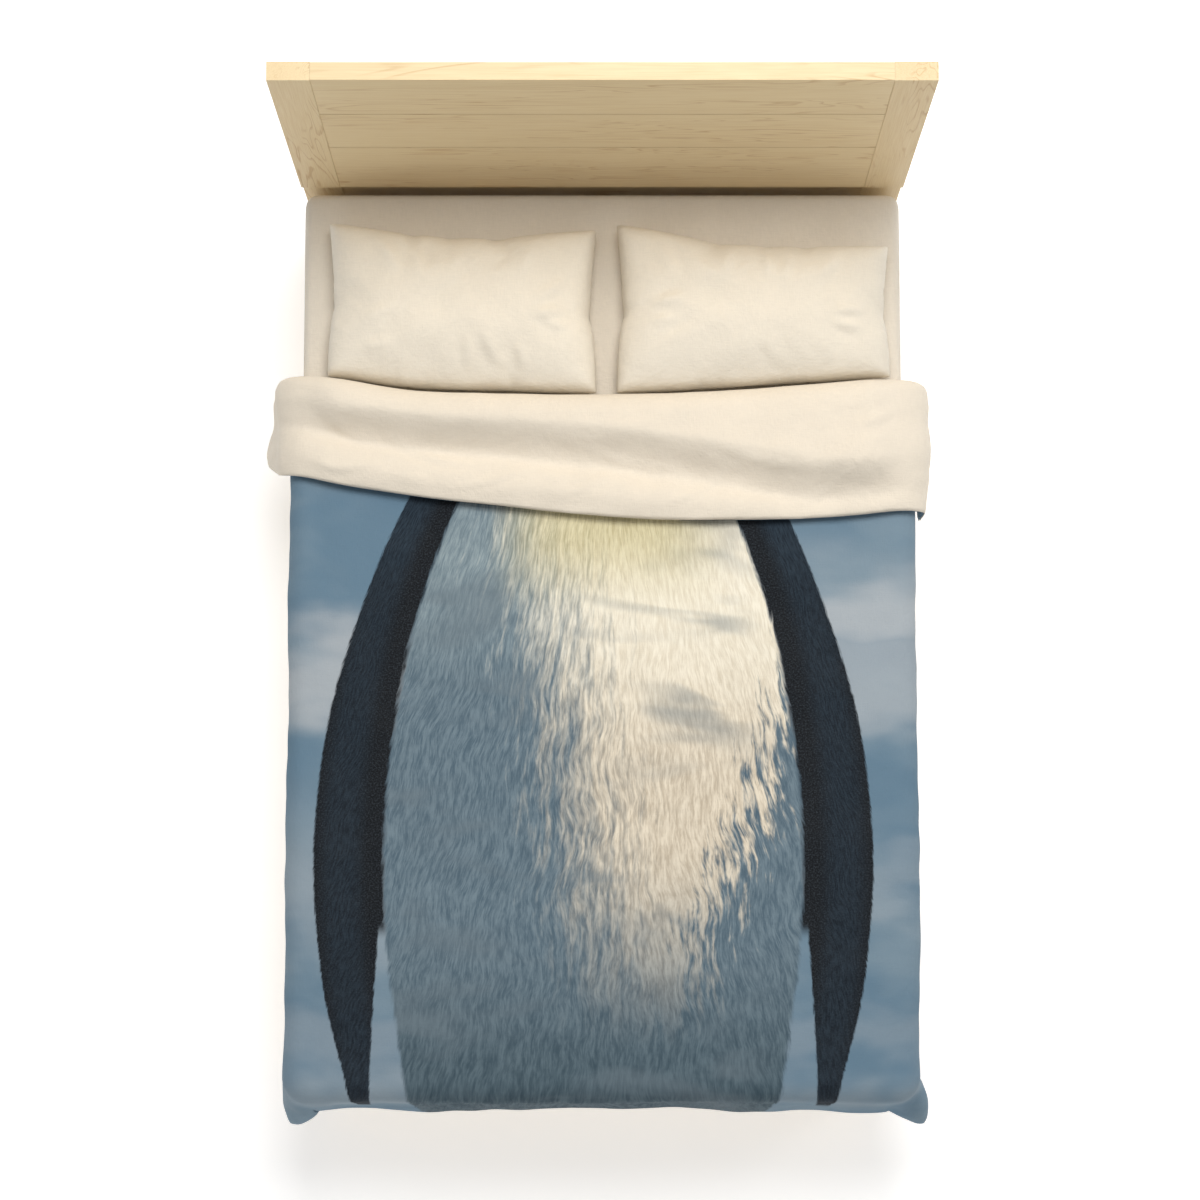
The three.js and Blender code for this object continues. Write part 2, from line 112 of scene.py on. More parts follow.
def grid_faces(rows, columns):
    """Faces of a grid of points stored row by row. Seen with rows going up and columns to the right, they
    face the viewer."""
    faces = []
    for r in range(rows - 1):
        for c in range(columns - 1):
            a = r * columns + c
            faces.append((a, a + 1, a + columns + 1, a + columns))
    return faces


def grid_rim(rows, columns):
    """The points round the edge of such a grid, in order."""
    rim = list(range(columns)) + [r * columns + columns - 1 for r in range(1, rows)]
    rim += [(rows - 1) * columns + c for c in range(columns - 2, -1, -1)]
    return rim + [r * columns for r in range(rows - 2, 0, -1)]


def solidify(piece, thickness, offset=-1.0):
    modifier = piece.modifiers.new("fabric", "SOLIDIFY")
    modifier.thickness = thickness
    modifier.offset = offset


def run_cloth(piece, frames):
    """Steps the cloth on a piece, and returns its points at the last frame."""
    scene = bpy.context.scene
    piece.modifiers["cloth"].point_cache.frame_end = frames
    for number in range(1, frames + 1):
        scene.frame_set(number)
    evaluated = piece.evaluated_get(bpy.context.evaluated_depsgraph_get())
    flat = np.empty(len(evaluated.data.vertices) * 3)
    evaluated.data.vertices.foreach_get("co", flat)
    scene.frame_set(1)
    return flat.reshape(-1, 3)


# ---- grids of points
def unit(vectors):
    return vectors / np.maximum(np.linalg.norm(vectors, axis=-1, keepdims=True), 1e-9)


def grid_normals(grid):
    """Outward normals of a grid whose rows run towards the head and columns to the right."""
    along = np.gradient(grid, axis=0)
    across = np.gradient(grid, axis=1)
    return unit(np.cross(across, along))


def smoothed(grid, times):
    """A grid with each inner point moved towards its neighbours."""
    out = grid.copy()
    for _ in range(times):
        middle = out[1:-1, 1:-1]
        around = (out[:-2, 1:-1] + out[2:, 1:-1] + out[1:-1, :-2] + out[1:-1, 2:]) / 4
        out[1:-1, 1:-1] = (middle + around) / 2
    return out


def ease(value, low, high):
    t = np.clip((value - low) / (high - low), 0, 1)
    return t * t * (3 - 2 * t)


def through(x, points):
    """A smooth curve through given (x, y) points."""
    xs, ys = np.array(points, float).T
    slopes = np.gradient(ys, xs)
    i = np.clip(np.searchsorted(xs, x) - 1, 0, len(xs) - 2)
    width = xs[i + 1] - xs[i]
    t = np.clip((x - xs[i]) / width, 0, 1)
    start = (2 * t**3 - 3 * t**2 + 1) * ys[i] + (t**3 - 2 * t**2 + t) * width * slopes[i]
    return start + (3 * t**2 - 2 * t**3) * ys[i + 1] + (t**3 - t**2) * width * slopes[i + 1]


def ripples(x, y, wavelength, seed, stretch=(1.0, 1.0), waves=14):
    """Smooth undulations between about -1 and 1, from waves in many directions."""
    draw = np.random.default_rng(seed)
    total = np.zeros_like(x)
    for _ in range(waves):
        angle = draw.uniform(0, 2 * math.pi)
        number = 2 * math.pi / wavelength * draw.uniform(0.6, 1.5)
        phase = draw.uniform(0, 2 * math.pi)
        along = math.cos(angle) * x / stretch[0] + math.sin(angle) * y / stretch[1]
        total += np.sin(number * along + phase)
    return total / math.sqrt(waves)


def crease(x, y, start, end, width, height):
    """A soft fold in the fabric along a line, highest at its middle and fading at its ends."""
    start, end = np.array(start), np.array(end)
    length = np.linalg.norm(end - start)
    direction = (end - start) / length
    along = (x - start[0]) * direction[0] + (y - start[1]) * direction[1]
    aside = (y - start[1]) * direction[0] - (x - start[0]) * direction[1]
    bend = 0.06 * length * np.sin(math.pi * along / length)
    fade = ease(along, 0, 0.45 * length) * (1 - ease(along, 0.55 * length, length))
    t = (aside - bend) / width
    return height * fade * (np.exp(-t * t) - 0.5 * np.exp(-((t - 1.3) ** 2)))


# ---- node materials
def srgb(red, green, blue):
    """A colour given from 0 to 255, as Blender wants it."""

    def linear(level):
        return level / 255 / 12.92 if level < 10.3 else ((level / 255 + 0.055) / 1.055) ** 2.4

    return (linear(red), linear(green), linear(blue), 1.0)


class Graph:
    """A material's node tree, being built."""

    def __init__(self, name):
        self.material = bpy.data.materials.new(name)
        self.material.use_nodes = True
        self.tree = self.material.node_tree
        self.shader = self.tree.nodes["Principled BSDF"]

    def node(self, kind, inputs=None, **settings):
        made = self.tree.nodes.new("ShaderNode" + kind)
        for key, value in settings.items():
            setattr(made, key, value)
        for key, value in (inputs or {}).items():
            self.feed(made.inputs[key], value)
        return made

    def feed(self, socket, value):
        if isinstance(value, bpy.types.NodeSocket):
            self.tree.links.new(value, socket)
        else:
            socket.default_value = value

    def math(self, operation, *values):
        return self.node("Math", dict(enumerate(values)), operation=operation).outputs[0]

    def plus(self, first, second):
        return self.math("ADD", first, second)

    def minus(self, first, second):
        return self.math("SUBTRACT", first, second)

    def times(self, first, second):
        return self.math("MULTIPLY", first, second)

    def swing(self, noise, amount):
        """Noise about 0 instead of about 0.5, times an amount."""
        return self.times(self.minus(noise, 0.5), amount)

    def ramp(self, value, low, high, to_low=0.0, to_high=1.0):
        """A smooth step from to_low to to_high as value goes from low to high."""
        inputs = {"Value": value, "From Min": low, "From Max": high, "To Min": to_low, "To Max": to_high}
        return self.node("MapRange", inputs, interpolation_type="SMOOTHSTEP").outputs[0]

    def vary(self, noise, low=0.0, high=1.0):
        """Noise spread out between two values."""
        return self.ramp(noise, 0.3, 0.7, low, high)

    def mix(self, factor, first, second, blend="MIX"):
        made = self.node("Mix", data_type="RGBA", blend_type=blend)
        self.feed(made.inputs[0], factor)
        self.feed(made.inputs[6], first)
        self.feed(made.inputs[7], second)
        return made.outputs[2]

    def place(self):
        return self.node("TexCoord").outputs["Object"]

    def axes(self, vector):
        return self.node("SeparateXYZ", {0: vector}).outputs

    def flat_vector(self, x, y):
        return self.node("CombineXYZ", {0: x, 1: y}).outputs[0]

    def scaled(self, vector, scale, location=(0, 0, 0)):
        return self.node("Mapping", {"Vector": vector, "Scale": scale, "Location": location}).outputs[0]

    def noise(self, vector, scale, detail=2.0, roughness=0.5, distortion=0.0):
        inputs = {"Vector": vector, "Scale": scale, "Detail": detail, "Roughness": roughness}
        return self.node("TexNoise", {**inputs, "Distortion": distortion}).outputs[0]

    def curve(self, value, points):
        """A curve through given points, each from 0 to 1 both ways."""
        made = self.node("FloatCurve", {"Value": value})
        line = made.mapping.curves[0]
        line.points[0].location = points[0]
        line.points[-1].location = points[-1]
        for x, y in points[1:-1]:
            line.points.new(x, y)
        made.mapping.update()
        return made.outputs[0]

    def bump(self, height, distance, normal=None):
        inputs = {"Height": height, "Distance": distance, "Strength": 1.0}
        if normal is not None:
            inputs["Normal"] = normal
        return self.node("Bump", inputs).outputs[0]

    def finish(self, color, roughness, normal=None, fixed=None):
        self.feed(self.shader.inputs["Base Color"], color)
        self.feed(self.shader.inputs["Roughness"], roughness)
        if normal is not None:
            self.feed(self.shader.inputs["Normal"], normal)
        for key, value in (fixed or {}).items():
            self.shader.inputs[key].default_value = value
        return self.material


def cotton(graph, color, crumple=1.0, shade=0.05, sheen=0.12):
    """Plain woven cotton: slubs along both threads, a fine weave and the small creases of washed fabric."""
    place = graph.place()
    warp = graph.noise(graph.scaled(place, (420, 46, 420)), 1.0, detail=3.0)
    weft = graph.noise(graph.scaled(place, (46, 420, 60)), 1.0, detail=3.0)
    threads = graph.plus(warp, weft)
    mottle = graph.noise(place, 9.0, detail=4.0, roughness=0.6)
    light = graph.plus(graph.times(threads, 0.5), graph.times(mottle, 0.6))
    tone = graph.ramp(light, 0.55, 1.05, 1.0 - shade, 1.0 + shade * 0.4)
    grey = graph.node("CombineColor", {0: tone, 1: tone, 2: tone}).outputs[0]
    shaded = graph.mix(1.0, color, grey, "MULTIPLY")
    folds = graph.noise(place, 5.0, detail=5.0, roughness=0.6, distortion=0.35)
    elsewhere = graph.scaled(place, (1, 1, 1), (3, 1, 2))
    fine = graph.noise(elsewhere, 26.0, detail=4.0, roughness=0.6, distortion=0.25)
    normal = graph.bump(folds, 0.012 * crumple)
    normal = graph.bump(fine, 0.0018 * crumple, normal)
    normal = graph.bump(threads, 0.0005, normal)
    roughness = graph.vary(mottle, 0.78, 0.92)
    return graph.finish(shaded, roughness, normal, {"Sheen Weight": sheen, "Specular IOR Level": 0.2})


def cotton_look(name, color, crumple=1.0, shade=0.05):
    return cotton(Graph(name), color, crumple, shade)


def wood_look(name, grain, seed, light, dark, roughness=0.5, shaded_joints=()):
    """Maple: pale, with fine straight pores and wandering growth lines along the grain, which is 0, 1 or 2
    for X, Y or Z. At the joints between planks, which are heights, the shade in their grooves is painted as a
    darker line."""
    graph = Graph(name)
    place = graph.place()
    along = [0.9 if axis == grain else 9.0 for axis in range(3)]
    pores = [9.0 if axis == grain else 420.0 for axis in range(3)]
    shifted = graph.scaled(place, along, (seed * 1.7, seed * 2.3, seed * 3.1))
    wander = graph.noise(shifted, 0.9, detail=3.0, roughness=0.55, distortion=0.4)
    rings = graph.math("FRACT", graph.times(wander, 26.0))
    line = graph.ramp(rings, 0.72, 1.0)
    edge = graph.ramp(rings, 0.0, 0.12, 1.0, 0.0)
    line = graph.math("MAXIMUM", line, edge)
    patchy = graph.ramp(graph.noise(shifted, 1.6, detail=2.0), 0.42, 0.62)
    line = graph.times(line, patchy)
    pore = graph.noise(graph.scaled(place, pores), 1.0, detail=2.0, roughness=0.7)
    broad = graph.noise(shifted, 0.5, detail=2.0)
    amount = graph.plus(graph.times(line, 0.30), graph.times(pore, 0.42))
    amount = graph.plus(amount, graph.times(broad, 0.35))
    color = graph.mix(graph.ramp(amount, 0.2, 0.95), light, dark)
    height = graph.axes(place)[2]
    # Painted shade: a darker line along each joint between planks, standing in for the shade in its groove.
    for joint in shaded_joints:
        off = graph.math("ABSOLUTE", graph.minus(height, joint))
        color = graph.mix(graph.ramp(off, 0.0034, 0.0016, 0.0, 0.75), color, srgb(120, 84, 50))
    normal = graph.bump(pore, 0.0003)
    normal = graph.bump(line, 0.0002, normal)
    sheen = graph.vary(pore, roughness - 0.06, roughness + 0.08)
    return graph.finish(color, sheen, normal, {"Specular IOR Level": 0.4})


def give(piece, material):
    piece.data.materials.clear()
    piece.data.materials.append(material)


def place_piece(piece, material, body, node):
    """Gives a piece its look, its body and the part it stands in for."""
    give(piece, material)
    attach(piece, body)
    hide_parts(node)


# ---- camera, light and floor
def make_camera():
    data = bpy.data.cameras.new("camera")
    camera = linked("camera", data)
    camera.location = (CAMERA_X, HEADBOARD - CAMERA_FROM_HEADBOARD, CAMERA_HEIGHT)
    camera.rotation_euler = (CAMERA_TILT, 0, 0)
    data.lens = LENS
    data.shift_y = SHIFT
    data.clip_end = 60
    bpy.context.scene.camera = camera


def make_light(name, place, aim, size, power, color):
    data = bpy.data.lights.new(name, "AREA")
    data.shape = "DISK"
    data.size = size
    data.energy = power
    data.color = color
    lamp = linked(name, data)
    lamp.location = place
    direction = np.array(aim, float) - np.array(place, float)
    tilt = math.atan2(math.hypot(direction[0], direction[1]), -direction[2])
    turn = math.atan2(direction[1], direction[0]) - math.pi / 2
    lamp.rotation_euler = (tilt, 0, turn)


def make_studio():
    scene = bpy.context.scene
    scene.view_settings.view_transform = "Standard"
    world = bpy.data.worlds.new("studio")
    world.use_nodes = True
    background = world.node_tree.nodes["Background"]
    background.inputs["Color"].default_value = (1.0, 1.0, 1.0, 1.0)
    background.inputs["Strength"].default_value = WORLD_LIGHT
    scene.world = world
    for name, settings in LIGHTS.items():
        make_light(name, *settings)
    floor = mesh_object("floor", [(-25, -25, 0), (25, -25, 0), (25, 25, 0), (-25, 25, 0)], [(0, 1, 2, 3)])
    floor.location.z = FLOOR - 0.0005
    graph = Graph("floor")
    mottle = graph.noise(graph.place(), 3.0, detail=3.0)
    tone = graph.mix(graph.vary(mottle), srgb(250, 250, 250), srgb(252, 252, 252))
    glow = {"Emission Color": (1, 1, 1, 1), "Emission Strength": FLOOR_GLOW}
    give(floor, graph.finish(tone, 0.8, None, glow))


# ---- bedstead
MAPLE_LIGHT = srgb(236, 214, 170)
MAPLE_DARK = srgb(204, 168, 118)
SLAT_LIGHT = srgb(236, 218, 178)
SLAT_DARK = srgb(205, 176, 130)


# Starts of the parts' names, by the axis that their grain runs along.
GRAINS = {
    0: ("headboard_plank", "headboard_lower", "foot_rail", "slat_0", "slat_1"),
    1: ("side_rail", "slat_ledge", "centre_beam"),
    2: ("headboard_post", "foot_leg", "centre_leg"),
}


def finish_bedstead():
    """The bedstead's own parts keep their shape, and get eased edges and a grain that runs along each one."""
    steel = steel_look()
    for number, (name, part) in enumerate(sorted(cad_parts.items())):
        axes = [axis for axis, starts in GRAINS.items() if name.startswith(starts)]
        if axes:
            rough = name.startswith(("slat", "centre_beam"))
            light, dark = (SLAT_LIGHT, SLAT_DARK) if rough else (MAPLE_LIGHT, MAPLE_DARK)
            ends = (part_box(name)[0].z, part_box(name)[1].z)
            on_show = [z for z in ends if MATTRESS_TOP + 0.1 < z < BEDSTEAD_TOP - 0.01]
            # The planks' visible joint heights, where painted shade darkens the grooves.
            shaded_joints = on_show if "plank" in name else ()
            roughness = 0.66 if rough else 0.46
            give(part, wood_look("wood_" + name, axes[0], number + 1, light, dark, roughness, shaded_joints))
            ease_edges(part, 0.0016)
        elif "bolt" in name or "bracket" in name:
            give(part, steel)
            ease_edges(part, 0.0004)


def ease_edges(part, radius):
    modifier = part.modifiers.new("eased_edges", "BEVEL")
    modifier.width = radius
    modifier.segments = 2
    modifier.limit_method = "ANGLE"
    modifier.angle_limit = math.radians(40)
    part.data.shade_flat()


def steel_look():
    graph = Graph("zinc_plated_steel")
    place = graph.place()
    scratch = graph.noise(graph.scaled(place, (900, 60, 900)), 1.0, detail=3.0)
    spangle = graph.noise(place, 160.0, detail=2.0)
    color = graph.mix(spangle, srgb(176, 178, 180), srgb(203, 204, 204))
    roughness = graph.vary(scratch, 0.28, 0.46)
    return graph.finish(color, roughness, graph.bump(scratch, 0.00005), {"Metallic": 1.0})


# ---- a fitted form over the mattress
def fitted_grid(edge, corner, step, hem):
    """Points of a lid over the mattress: a top grid, then rings down its sides to the hem.
    Returns the points, the faces and, for each point, how far down the side it is."""
    half = np.array([HALF_WIDTH, (SHEET_HIGH[1] - SHEET_LOW[1]) / 2])
    centre = np.array([0.0, (SHEET_HIGH[1] + SHEET_LOW[1]) / 2])
    top = MATTRESS_TOP
    turns = np.radians([0, 22.5, 45, 67.5, 90])

    def lines(size):
        flat = size - edge
        count = max(2, round(2 * flat / step))
        inner = [(v, 0.0) for v in np.linspace(-flat, flat, count + 1)]
        right = [(flat + edge * math.sin(t), t) for t in turns[1:]]
        left = [(-v, t) for v, t in reversed(right)]
        return left + inner + right

    xs, ys = lines(half[0]), lines(half[1])
    grid = np.array([[(x, y, max(tx, ty)) for x, tx in xs] for y, ty in ys])

    def rounded(x, y):
        """Square corners drawn in to round ones."""
        over = np.array([abs(x) - (half[0] - corner), abs(y) - (half[1] - corner)])
        if over.min() <= 0:
            return x, y
        over = over * over.max() / np.linalg.norm(over)
        return math.copysign(half[0] - corner + over[0], x), math.copysign(half[1] - corner + over[1], y)

    points, depth = [], []
    for x, y, turn in grid.reshape(-1, 3):
        px, py = rounded(x, y)
        points.append((px + centre[0], py + centre[1], top - edge * (1 - math.cos(turn))))
        depth.append(0.0)
    rows, columns = grid.shape[:2]
    faces = grid_faces(rows, columns)
    rim = grid_rim(rows, columns)
    ring = rim
    levels = np.linspace(top - edge, hem, max(2, round((top - edge - hem) / step)) + 1)[1:]
    for level in levels:
        first = len(points)
        for index in rim:
            points.append((points[index][0], points[index][1], level))
            depth.append((top - level) / (top - hem))
        lower = list(range(first, first + len(rim)))
        for k in range(len(rim)):
            after = (k + 1) % len(rim)
            faces.append((ring[k], lower[k], lower[after], ring[after]))
        ring = lower
    return np.array(points), faces, np.array(depth)


# Creases, each as start, end, width and height.
SHEET_CREASES = [
    ((-0.66, 0.80), (-0.50, 0.98), 0.012, 0.00352), ((-0.64, 0.66), (-0.60, 0.94), 0.010, 0.00264),
    ((0.62, 0.70), (0.66, 0.96), 0.012, 0.00308), ((0.48, 0.98), (0.67, 0.86), 0.012, 0.00264),
    ((-0.03, 0.62), (0.04, 0.98), 0.018, 0.0044), ((-0.20, 0.93), (0.16, 0.97), 0.016, 0.00308),
]


def make_fitted_sheet():
    """A cotton sheet pulled over the mattress: slack in long soft folds on top, gathered by its elastic."""
    points, faces, depth = fitted_grid(edge=0.018, corner=0.030, step=0.012, hem=SHEET_LOW[2] + 0.001)
    x, y = points[:, 0], points[:, 1]
    # Only the top's inner part is free to rise; the edges are held by the mattress.
    from_edge = np.minimum(HALF_WIDTH - np.abs(x), np.minimum(SHEET_HIGH[1] - y, y - SHEET_LOW[1]))
    # Under the duvet and the pillows it is pressed nearly flat.
    bare = 0.12 + 0.88 * ease(y, HEADBOARD - 0.14, HEADBOARD - 0.08)
    free = ease(from_edge, 0.0, 0.12) * bare
    slack = 0.5 + 0.5 * ripples(x, y, 0.32, 5, (1.0, 1.5))
    fine = 0.5 + 0.5 * ripples(x, y, 0.09, 6, (1.0, 2.2))
    on_top = depth == 0
    points[on_top, 2] += (free * (0.0042 * slack + 0.0010 * fine))[on_top]
    for start, end, width, height in SHEET_CREASES:
        lift = crease(x, y, start, end, width, height)
        points[on_top, 2] += (np.maximum(lift, 0) * bare)[on_top]
    points += gathers(x, y, depth)
    piece = mesh_object("fitted_sheet_cotton", points, faces)
    solidify(piece, SHEET_FABRIC)
    look = cotton_look("sheet_cotton", srgb(228, 219, 204), 1.0)
    place_piece(piece, look, "mattress", "fitted_sheet")
    drop = MATTRESS_TOP - SHEET_LOW[2]
    width = 2 * HALF_WIDTH + 2 * drop


def gathers(x, y, depth):
    """How the sheet's sides move outwards: the hem is drawn in, in small pleats that fade upwards."""
    around = np.arctan2(y - (SHEET_HIGH[1] + SHEET_LOW[1]) / 2, x)
    run = np.where(np.abs(x) > HALF_WIDTH - 0.07, y, x)
    pleat = ripples(run, around, 0.035, 8, (1.0, 4.0), 8)
    sag = ripples(run, depth, 0.30, 9, (1.0, 2.0), 8)
    outward = np.stack([x / HALF_WIDTH, np.zeros_like(x), np.zeros_like(x)], axis=1)
    ends = np.abs(x) < HALF_WIDTH - 0.03
    outward[ends] = [0, 1, 0]
    outward[ends & (y < 0)] = [0, -1, 0]
    lower = ease(depth, 0.55, 1.0)
    push = 0.0012 + 0.0012 * sag * ease(depth, 0, 0.4) + 0.0016 * pleat * lower
    return outward * (np.clip(push, 0.0003, 0.005) * (depth > 0))[:, None]


# ---- duvet
# Points across the bed: how far in front of the headboard the outside of the fold and the hem lie.
FOLD_LINE = [(-0.87, 0.445), (-0.75, 0.445), (-0.60, 0.465), (-0.45, 0.49), (-0.20, 0.50), (0.10, 0.50)]
FOLD_LINE += [(0.45, 0.48), (0.70, 0.46), (0.87, 0.45)]
HEM_LINE = [(-0.87, 0.60), (-0.80, 0.64), (-0.70, 0.68), (-0.45, 0.73), (-0.20, 0.76), (0.05, 0.785)]
HEM_LINE += [(0.30, 0.79), (0.55, 0.78), (0.75, 0.76), (0.87, 0.75)]
# Points across the bed: at what share of the turned-down part it starts to slope down, and is lowest.
SLOPE_START = [(-0.87, 0.06), (0.0, 0.10), (0.3, 0.30), (0.5, 0.50), (0.87, 0.52)]
HOLLOW_LINE = [(-0.87, 0.46), (-0.45, 0.46), (-0.1, 0.50), (0.2, 0.64), (0.45, 0.84), (0.6, 0.88)]
HOLLOW_LINE += [(0.87, 0.90)]
# Creases of the turned-down part, as start, end, width and height, each place being x and the distance
# from the fold.
CUFF_CREASES = [
    ((-0.52, 0.05), (-0.22, 0.11), 0.010, 0.0022), ((-0.38, 0.17), (-0.12, 0.09), 0.008, 0.0018),
    ((-0.16, 0.20), (0.06, 0.10), 0.007, 0.0016), ((-0.10, 0.05), (0.24, 0.12), 0.010, 0.0020),
    ((0.08, 0.22), (0.34, 0.10), 0.008, 0.0018), ((0.22, 0.06), (0.52, 0.15), 0.011, 0.0022),
    ((0.40, 0.24), (0.64, 0.09), 0.008, 0.0016), ((0.52, 0.05), (0.70, 0.03), 0.012, 0.0025),
    ((-0.66, 0.03), (-0.48, 0.08), 0.012, 0.0020), ((-0.68, 0.16), (-0.50, 0.12), 0.009, 0.0016),
]


def roll_radius(x):
    on_bed, at_side = ROLL_RADIUS
    return on_bed + (at_side - on_bed) * ease(np.abs(x), HALF_WIDTH - 0.10, HALF_WIDTH + 0.04)


def turned_width(x):
    """How much of the duvet is turned down past the roll, across the bed."""
    return through(x, HEM_LINE) - through(x, FOLD_LINE) - roll_radius(x) - DUVET_THICKNESS / 2


def drape_main():
    """The duvet's middle layer from the foot to the fold, laid over the mattress.
    Returns a grid of points and the grid of their flat coordinates."""
    half = COVER[0] / 2
    across, share = np.meshgrid(np.linspace(-half, half, 177), np.linspace(0, 1, 185))
    edge_y = HEADBOARD - through(across, FOLD_LINE) - roll_radius(across) - DUVET_THICKNESS / 2
    foot_y = FOOT - FOOT_STAND_OFF - FOOT_DROP
    flat = np.stack([across, foot_y + (edge_y - foot_y) * share], axis=-1)
    return hung_over_edges(flat), flat


def hung_over_edges(flat):
    """Where the duvet's middle layer comes to lie. What reaches past the mattress bends round its edge and
    hangs down, and at the two foot corners, where there is too much of it, it stands out in a soft cone."""
    x, y = flat[..., 0], flat[..., 1]
    side = np.sign(x)
    # The part that stays flat is a rectangle with rounded corners, BEND inside the hanging surface.
    inner_x = HALF_WIDTH + 0.006 + SKIRT_THICKNESS / 2 - BEND
    inner_y = FOOT - FOOT_STAND_OFF + BEND / 2
    corner = 0.012
    past_x = np.abs(x) - (inner_x - corner)
    past_y = (inner_y + corner) - y
    in_corner = (past_x > 0) & (past_y > 0)
    from_corner = np.hypot(past_x, past_y)
    distance = np.where(in_corner, from_corner, np.maximum(past_x, past_y)) - corner
    over = np.maximum(distance, 0)
    straight = np.where(past_y > past_x, math.pi / 2, 0)
    angle = np.where(in_corner, np.arctan2(past_y, np.maximum(past_x, 1e-6)), straight)
    bent = np.minimum(over / BEND, math.pi / 2)
    out = BEND * np.sin(bent)
    down = BEND * (1 - np.cos(bent)) + np.maximum(over - BEND * math.pi / 2, 0)
    # The nearest point of the flat part.
    within = np.minimum(from_corner, corner)
    corner_x = inner_x - corner + within * np.cos(angle)
    corner_y = inner_y + corner - within * np.sin(angle)
    base_x = np.where(in_corner, corner_x, np.minimum(np.abs(x), inner_x))
    base_y = np.where(in_corner, corner_y, np.maximum(y, inner_y))
    # The cone: its two halves stand apart.
    hanging = ease(over, 0.04, 0.30) * 0.24
    cone = np.where(in_corner, np.sin(2 * angle), 0) * hanging
    reach = np.where(side < 0, 0.0, 0.10)
    spread_x = cone * (reach + 0.14 * np.cos(angle))
    spread_y = cone * (0.09 + 0.14 * np.sin(angle))
    # The foot's skirt leans outwards, and the corner's lift is what its cone takes up.
    lean = 0.10 * np.sin(angle) * np.maximum(over - 0.03, 0)
    hung_x = side * (base_x + out * np.cos(angle) + spread_x)
    hung_y = base_y - out * np.sin(angle) - spread_y - lean
    hung_z = MATTRESS_TOP + DUVET_THICKNESS / 2 + DUVET_CLEARANCE - down + 0.15 * cone
    return np.stack([hung_x, hung_y, hung_z], axis=-1)


def thickness_near_edges(flat_x, along, total):
    """The duvet's thickness: full inside, thinning to the seam at the sides and at both ends."""
    from_side = COVER[0] / 2 - np.abs(flat_x)
    from_end = np.minimum(along, total - along)
    nearest = np.minimum(from_side, from_end)
    round_over = np.sqrt(np.clip(1 - (1 - np.clip(nearest / HEM_TAPER, 0, 1)) ** 2, 0, 1))
    hanging = ease(np.abs(flat_x), HALF_WIDTH - 0.05, HALF_WIDTH + 0.04)
    full = DUVET_THICKNESS + (SKIRT_THICKNESS - DUVET_THICKNESS) * hanging
    return HEM_THICKNESS + (full - HEM_THICKNESS) * round_over


def swelling(flat):
    """How far the duvet's middle layer stands out from its smooth drape."""
    x, y = flat[..., 0], flat[..., 1]
    side = ease(np.abs(x), HALF_WIDTH - 0.02, COVER[0] / 2)
    swell = 0.0032 * (1 + ripples(x, y, 0.34, 21, (1.0, 1.3))) + 0.0010 * (1 + ripples(x, y, 0.11, 22))
    wave = 0.0035 * side * (1 + ripples(y, x, 0.26, 23, (1.0, 2.0)))
    low = ease(FOOT - y, 0.0, FOOT_DROP)
    wave = wave + 0.004 * low * (1 + ripples(x, y, 0.30, 24, (1.0, 2.0)))
    return swell + wave


def rolled(main, normals, radius):
    """The half turn past the main part's last row: its points and their outward normals."""
    outward = unit(normals[-6:].mean(axis=0))
    tangent = unit(main[-1] - main[-5])
    tangent = unit(tangent - outward * (tangent * outward).sum(axis=-1, keepdims=True))
    points, sides = [], []
    for turn in np.linspace(0, math.pi, ROLL_STEPS)[1:-1]:
        points.append(main[-1] + radius * (math.sin(turn) * tangent + (1 - math.cos(turn)) * outward))
        sides.append(math.cos(turn) * outward - math.sin(turn) * tangent)
    return np.stack(points), np.stack(sides)


def walked_back(main, normals, width, share):
    """Points and normals of the main part, going back from its last row by each share of the width."""
    rows, columns = main.shape[:2]
    lengths = np.linalg.norm(np.diff(main, axis=0), axis=-1)
    back = np.concatenate([np.zeros((1, columns)), np.cumsum(lengths[::-1], axis=0)])
    points, sides = [], []
    for s in share:
        base, normal = np.empty((columns, 3)), np.empty((columns, 3))
        for c in range(columns):
            at = np.interp(s * width[c], back[:, c], np.arange(rows))
            low = min(int(at), rows - 2)
            part = at - low
            r, q = rows - 1 - low, rows - 2 - low
            base[c] = main[r, c] * (1 - part) + main[q, c] * part
            normal[c] = normals[r, c] * (1 - part) + normals[q, c] * part
        points.append(base)
        sides.append(unit(normal))
    return np.stack(points), np.stack(sides)


